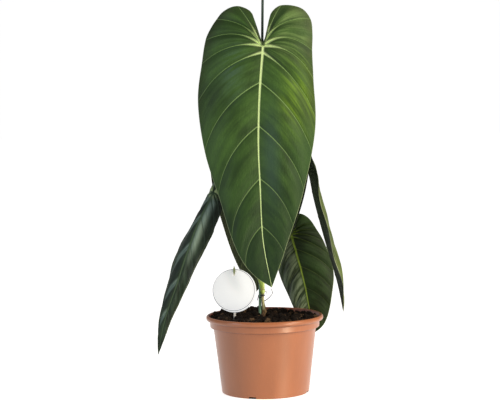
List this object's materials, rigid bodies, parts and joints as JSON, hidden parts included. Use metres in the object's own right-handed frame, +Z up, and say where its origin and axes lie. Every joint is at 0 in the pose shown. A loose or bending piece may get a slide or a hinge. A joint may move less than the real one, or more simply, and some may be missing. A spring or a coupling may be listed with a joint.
{
  "type": "potted philodendron",
  "caption": "Houseplant with long heart-shaped velvety leaves hanging from a staked stem, grown in a round plastic pot of soil with a round stick label.",
  "frame": {"origin": "middle of the pot's underside, on the surface it stands on", "axes": "+Z up along the pot's axis; +X to the right and -Y to the front as the largest leaf faces -Y"},
  "size_m": [0.2728, 0.198, 0.6],
  "materials": {
    "terracotta_plastic": "satin",
    "potting_soil": "matte",
    "green_stake": "satin",
    "stem": "satin",
    "black_wire": "satin",
    "label_card": "satin",
    "label_stick": "satin",
    "petiole": "satin",
    "leaf_blade": "satin"
  },
  "bodies": {
    "root": {"pot": "terracotta_plastic", "soil": "potting_soil", "stake": "green_stake", "stem": "stem", "tie": "black_wire", "label_disc": "label_card", "label_stick": "label_stick", "leaf_1_petiole": "petiole", "leaf_1_blade": "leaf_blade", "leaf_2_petiole": "petiole", "leaf_2_blade": "leaf_blade", "leaf_3_petiole": "petiole", "leaf_3_blade": "leaf_blade", "leaf_4_petiole": "petiole", "leaf_4_blade": "leaf_blade", "leaf_5_petiole": "petiole", "leaf_5_blade": "leaf_blade"}
  },
  "joints": []
}
